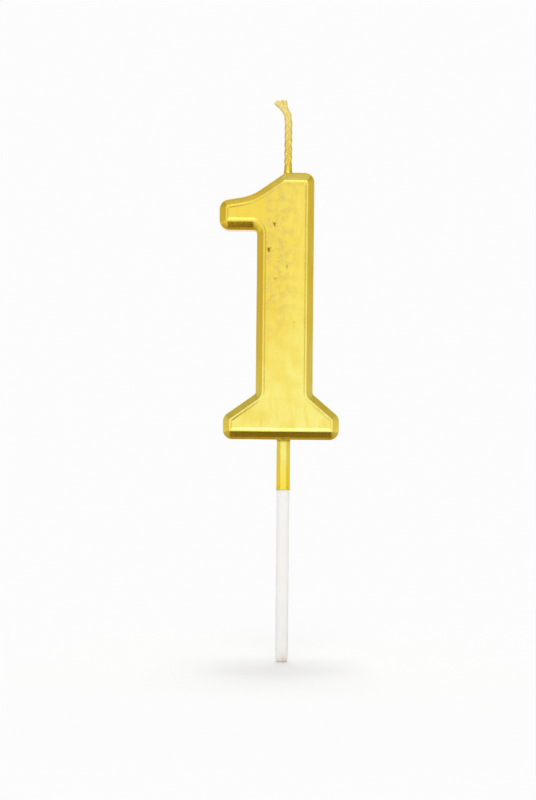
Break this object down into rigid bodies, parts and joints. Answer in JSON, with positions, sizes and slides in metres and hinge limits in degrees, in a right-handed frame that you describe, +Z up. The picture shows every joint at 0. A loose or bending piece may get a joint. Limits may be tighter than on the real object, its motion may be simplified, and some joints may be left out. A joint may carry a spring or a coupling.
{
  "type": "number candle",
  "caption": "Number candle shaped as a one: bevelled wax figure in metallic gold lacquer, with a plaited wick bent at the tip and a plastic stick that pushes into a cake.",
  "frame": {"origin": "tip of the stick, on its axis", "axes": "+Z up along the stick, +X to the right as the numeral is read, the numeral faces -Y"},
  "size_m": [0.0211, 0.008, 0.0979],
  "materials": {
    "wax": "plain paraffin wax, hidden under the lacquer",
    "gold_lacquer": "metallic gold lacquer, satin gloss, a little mottled",
    "stick_plastic": "milky white plastic, slightly translucent",
    "wick_cotton": "waxed cotton stained with gold lacquer"
  },
  "bodies": {
    "root": {"wax_body": "wax", "gold_coat": "gold_lacquer", "stick": "stick_plastic", "stick_band": "gold_lacquer", "wick_strand_1": "wick_cotton", "wick_strand_2": "wick_cotton", "wick_strand_3": "wick_cotton"}
  },
  "joints": []
}
